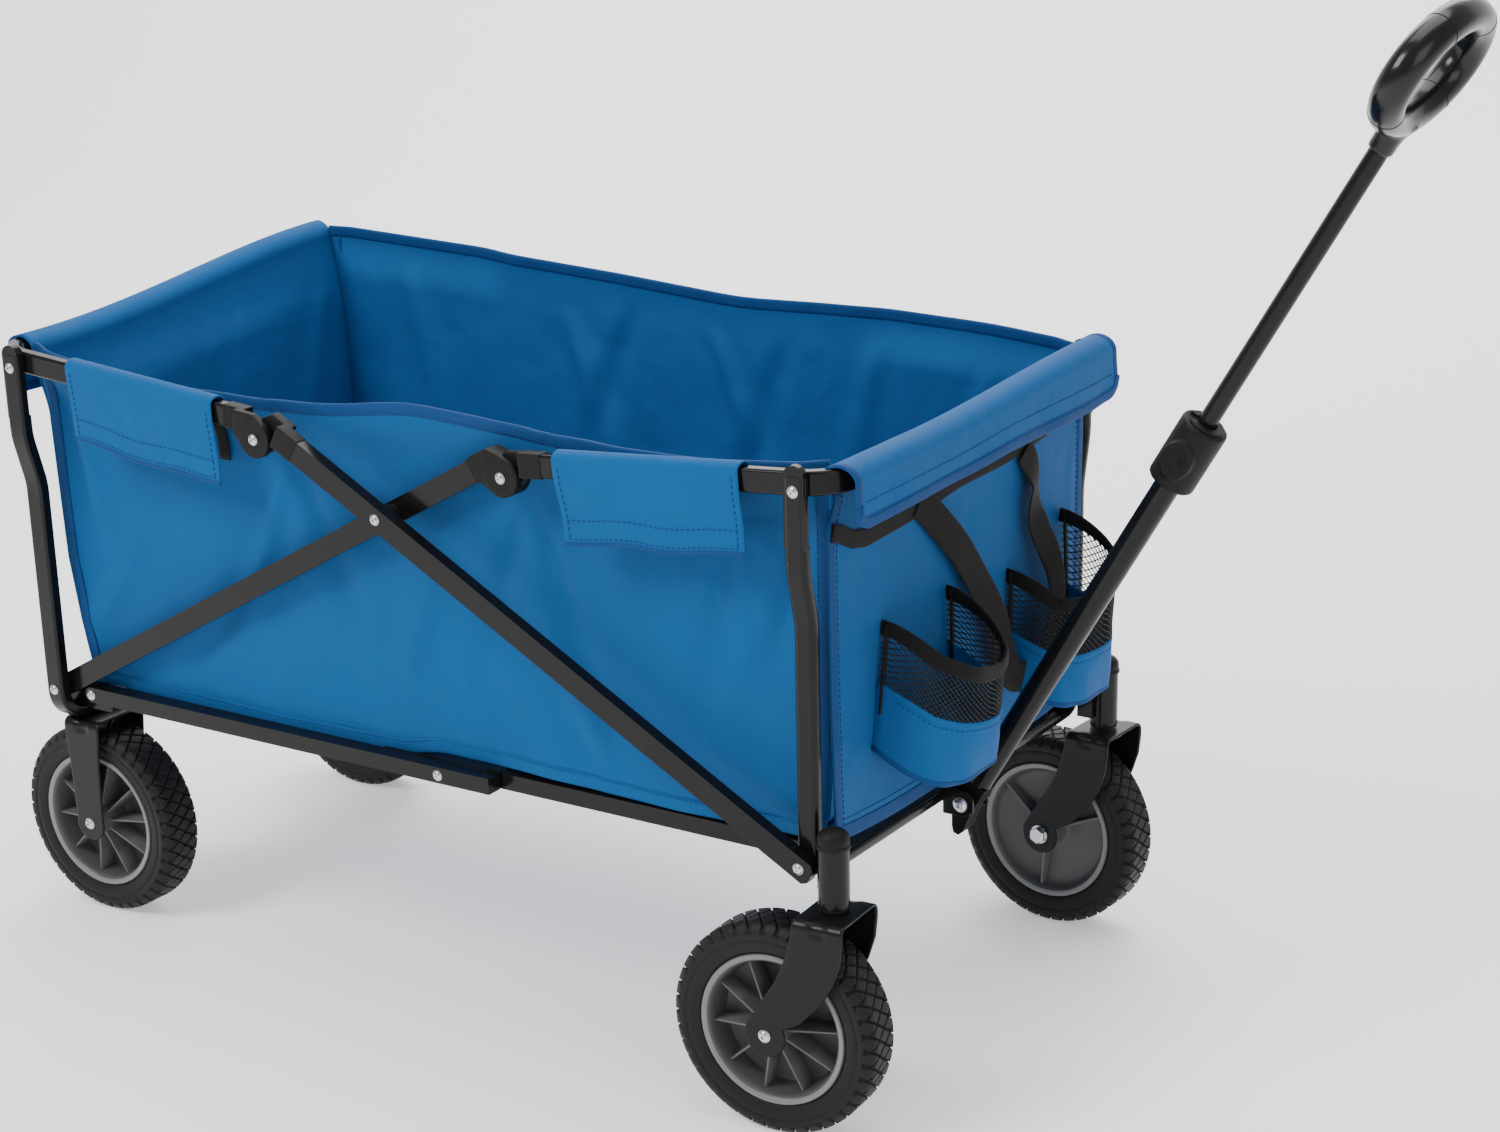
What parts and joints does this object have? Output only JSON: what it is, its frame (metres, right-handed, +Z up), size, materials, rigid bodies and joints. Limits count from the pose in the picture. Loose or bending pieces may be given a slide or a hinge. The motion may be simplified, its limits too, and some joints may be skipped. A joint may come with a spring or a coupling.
{
  "type": "folding utility wagon",
  "caption": "Folding beach cart: scissor-braced tube frame, open fabric basket with cup pockets, swivel front casters, fixed rear wheels and a telescoping pull handle.",
  "frame": {"origin": "middle of the bounding box in plan, on the ground", "axes": "+X forward towards the pull handle, +Y to the cart's left, +Z up"},
  "size_m": [1.3678, 0.5626, 0.9214],
  "materials": {
    "frame_paint": "satin black powder coat on steel tube",
    "fork_paint": "satin black coat on pressed steel",
    "rivet_steel": "zinc-plated steel",
    "black_plastic": "fine-textured black moulding",
    "grip_plastic": "polished black moulding",
    "rim_plastic": "dark grey moulding",
    "tyre": "black solid tyre",
    "canvas": "coated plain-weave polyester, medium blue",
    "webbing": "black ribbed webbing",
    "floor_board": "fabric-covered stiff board"
  },
  "bodies": {
    "rear_frame": {"rear_end_frame": "frame_paint", "rear_forks": "fork_paint", "rear_axles": "rivet_steel", "rear_frame_rivets": "rivet_steel", "basket_rear_panel": "canvas", "basket_side_left": "canvas", "basket_side_right": "canvas"},
    "front_frame": {"front_end_frame": "frame_paint", "caster_stems": "frame_paint", "stem_caps": "black_plastic", "caster_bushes": "black_plastic", "front_frame_rivets": "rivet_steel", "handle_bracket": "frame_paint", "handle_bolt": "rivet_steel", "basket_front_panel": "canvas", "cup_pockets": "canvas", "carry_strap": "webbing"},
    "inner_arms": {"inner_arms": "frame_paint", "inner_arm_knuckles": "black_plastic", "front_knuckle_rivets": "rivet_steel"},
    "outer_arms": {"outer_arms": "frame_paint", "outer_arm_knuckles": "black_plastic", "rear_knuckle_rivets": "rivet_steel", "scissor_rivets": "rivet_steel", "scissor_spacers": "black_plastic"},
    "rear_rail": {"rear_rail_tube": "frame_paint", "rear_rail_knuckles": "black_plastic", "rear_top_sleeve": "canvas", "rear_side_flaps": "canvas"},
    "front_rail": {"front_rail_tube": "frame_paint", "front_rail_knuckles": "black_plastic", "front_top_flap": "canvas", "front_side_flaps": "canvas"},
    "rear_bars": {"rear_bottom_bars": "frame_paint", "bar_centre_bolts": "rivet_steel", "rear_floor_board": "floor_board", "floor_fold_cloth": "canvas"},
    "front_bars": {"front_bottom_bars": "frame_paint", "front_floor_board": "floor_board"},
    "rear_wheel_left": {"rear_left_rim": "rim_plastic", "rear_left_tyre": "tyre"},
    "rear_wheel_right": {"rear_right_rim": "rim_plastic", "rear_right_tyre": "tyre"},
    "caster_left": {"caster_fork_left": "fork_paint", "caster_kingpin_left": "rivet_steel", "caster_axle_left": "rivet_steel"},
    "caster_right": {"caster_fork_right": "fork_paint", "caster_kingpin_right": "rivet_steel", "caster_axle_right": "rivet_steel"},
    "front_wheel_left": {"front_left_rim": "rim_plastic", "front_left_tyre": "tyre"},
    "front_wheel_right": {"front_right_rim": "rim_plastic", "front_right_tyre": "tyre"},
    "handle_lower": {"handle_foot": "frame_paint", "handle_lower_tube": "frame_paint", "handle_collar": "black_plastic"},
    "handle_upper": {"handle_upper_tube": "frame_paint", "upper_tube_guide": "black_plastic", "grip": "grip_plastic"},
    "button": {"release_button": "black_plastic"}
  },
  "joints": [
    {"name": "fold", "type": "hinge", "parent": "rear_frame", "child": "inner_arms", "pos_m": [-0.6008, 0, 0.2357], "axis": [0, -1, 0], "range_deg": [0, 46.77], "deforming": ["floor_fold_cloth", "basket_side_left", "basket_side_right", "rear_top_sleeve", "front_top_flap", "rear_side_flaps", "front_side_flaps"]},
    {"name": "scissor", "type": "hinge", "parent": "inner_arms", "child": "outer_arms", "pos_m": [-0.1803, 0, 0.4675], "axis": [0, -1, 0], "range_deg": [-93.54, 0]},
    {"name": "front_foot", "type": "hinge", "parent": "outer_arms", "child": "front_frame", "pos_m": [0.2402, 0, 0.2357], "axis": [0, -1, 0], "range_deg": [0, 46.77]},
    {"name": "rear_knuckle", "type": "hinge", "parent": "outer_arms", "child": "rear_rail", "pos_m": [-0.312, 0, 0.5204], "axis": [0, -1, 0], "range_deg": [0, 129.31]},
    {"name": "front_knuckle", "type": "hinge", "parent": "inner_arms", "child": "front_rail", "pos_m": [-0.0486, 0, 0.5204], "axis": [0, -1, 0], "range_deg": [-129.31, 0]},
    {"name": "rear_bar_hinge", "type": "hinge", "parent": "rear_frame", "child": "rear_bars", "pos_m": [-0.5633, 0, 0.2335], "axis": [0, -1, 0], "range_deg": [0, 64.94]},
    {"name": "front_bar_hinge", "type": "hinge", "parent": "front_frame", "child": "front_bars", "pos_m": [0.2317, 0, 0.2335], "axis": [0, -1, 0], "range_deg": [-87.66, 0]},
    {"name": "rear_left_spin", "type": "hinge", "parent": "rear_frame", "child": "rear_wheel_left", "pos_m": [-0.5896, 0.1896, 0.0943], "axis": [0, 1, 0], "continuous": true},
    {"name": "rear_right_spin", "type": "hinge", "parent": "rear_frame", "child": "rear_wheel_right", "pos_m": [-0.5896, -0.1896, 0.0943], "axis": [0, 1, 0], "continuous": true},
    {"name": "left_swivel", "type": "hinge", "parent": "front_frame", "child": "caster_left", "pos_m": [0.2697, 0.2422, 0.23], "axis": [0, 0, 1], "continuous": true},
    {"name": "right_swivel", "type": "hinge", "parent": "front_frame", "child": "caster_right", "pos_m": [0.2697, -0.2422, 0.23], "axis": [0, 0, 1], "continuous": true},
    {"name": "front_left_spin", "type": "hinge", "parent": "caster_left", "child": "front_wheel_left", "pos_m": [0.22099, 0.24518, 0.0943], "axis": [0.061, 0.9981, 0], "continuous": true},
    {"name": "front_right_spin", "type": "hinge", "parent": "caster_right", "child": "front_wheel_right", "pos_m": [0.22099, -0.24518, 0.0943], "axis": [-0.061, 0.9981, 0], "continuous": true},
    {"name": "handle_tilt", "type": "hinge", "parent": "front_frame", "child": "handle_lower", "pos_m": [0.2677, -0.015, 0.22], "axis": [0, -1, 0], "range_deg": [-42, 24]},
    {"name": "handle_telescope", "type": "slide", "parent": "handle_lower", "child": "handle_upper", "axis": [0.506, 0, 0.8625], "range_m": [-0.24, 0]},
    {"name": "button_press", "type": "slide", "parent": "handle_lower", "child": "button", "axis": [0, 1, 0], "range_m": [0, 0.0022], "stiffness_N_per_m": 400}
  ],
  "couplings": [
    {"joint": "scissor", "follows": "fold", "ratio": -2},
    {"joint": "front_foot", "follows": "fold", "ratio": 1},
    {"joint": "rear_knuckle", "follows": "fold", "ratio": 2.7648},
    {"joint": "front_knuckle", "follows": "fold", "ratio": -2.7648},
    {"joint": "rear_bar_hinge", "follows": "fold", "ratio": 1.3882},
    {"joint": "front_bar_hinge", "follows": "fold", "ratio": -1.8741}
  ]
}
